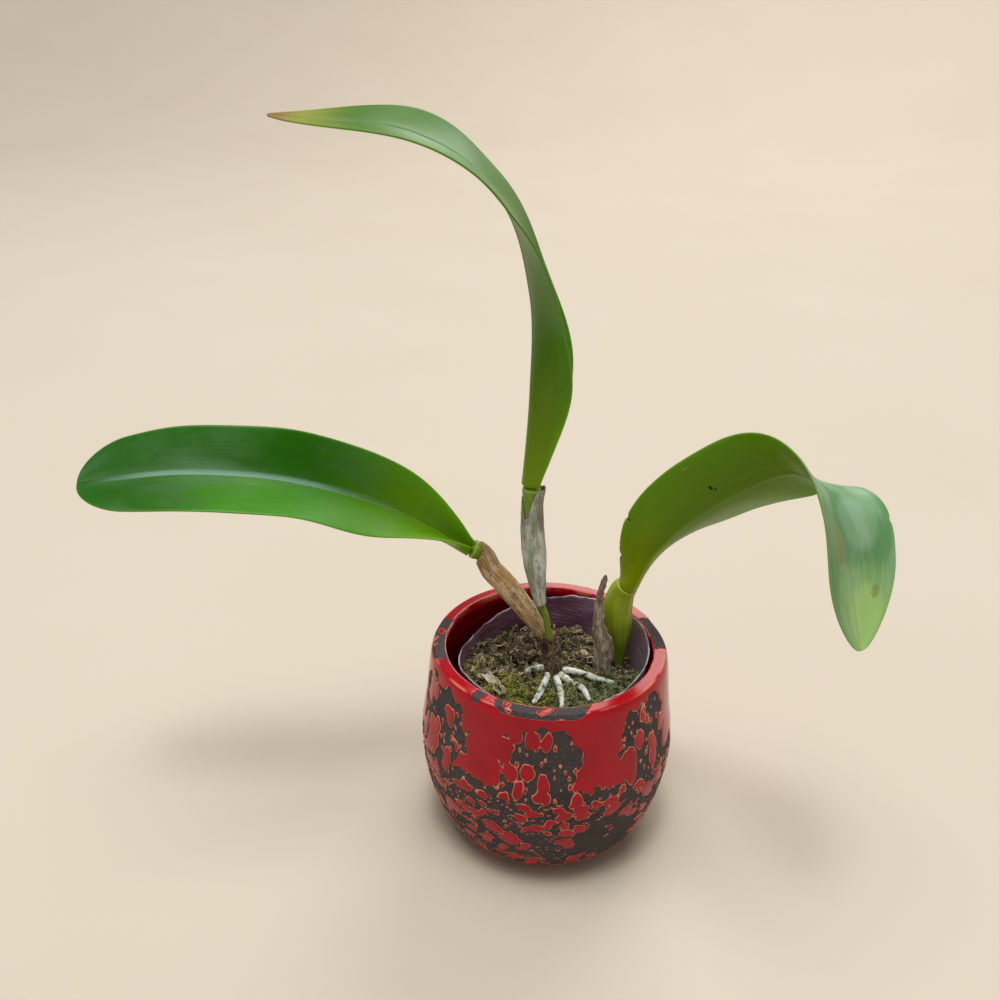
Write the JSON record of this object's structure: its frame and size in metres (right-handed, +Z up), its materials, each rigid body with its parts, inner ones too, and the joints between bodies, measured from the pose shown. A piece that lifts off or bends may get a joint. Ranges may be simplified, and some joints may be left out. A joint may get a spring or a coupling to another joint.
{
  "type": "potted cattleya orchid",
  "caption": "Potted orchid out of flower, with thick arching leaves on short stems, in a thin inner pot inside a round glazed ceramic pot.",
  "frame": {"origin": "centre of the pot's flat base", "axes": "+Z up, the picture's front towards -Y, the longest leaf towards -X"},
  "size_m": [0.3639, 0.1462, 0.3566],
  "materials": {
    "red_glaze": "glossy red glaze with bare dark patches",
    "clear_plastic": "thin hazy see-through plastic",
    "moss_and_bark": "damp moss and bark chips",
    "rhizome_brown": "dry brown bark",
    "stem_green": "smooth living stem",
    "leaf_green": "waxy leathery leaf",
    "dry_sheath": "dry papery sheath",
    "root_white": "chalky root skin"
  },
  "bodies": {
    "root": {"ceramic_pot": "red_glaze", "inner_pot": "clear_plastic", "growing_medium": "moss_and_bark", "rhizome": "rhizome_brown", "pseudobulb_left": "stem_green", "pseudobulb_centre": "stem_green", "pseudobulb_right": "stem_green", "leaf_left": "leaf_green", "leaf_centre": "leaf_green", "leaf_right": "leaf_green", "sheath_left": "dry_sheath", "sheath_centre": "dry_sheath", "dry_sheath_right": "dry_sheath", "old_bract": "dry_sheath", "root_a": "root_white", "root_b": "root_white", "root_c": "root_white", "root_d": "root_white", "root_e": "root_white"}
  },
  "joints": []
}
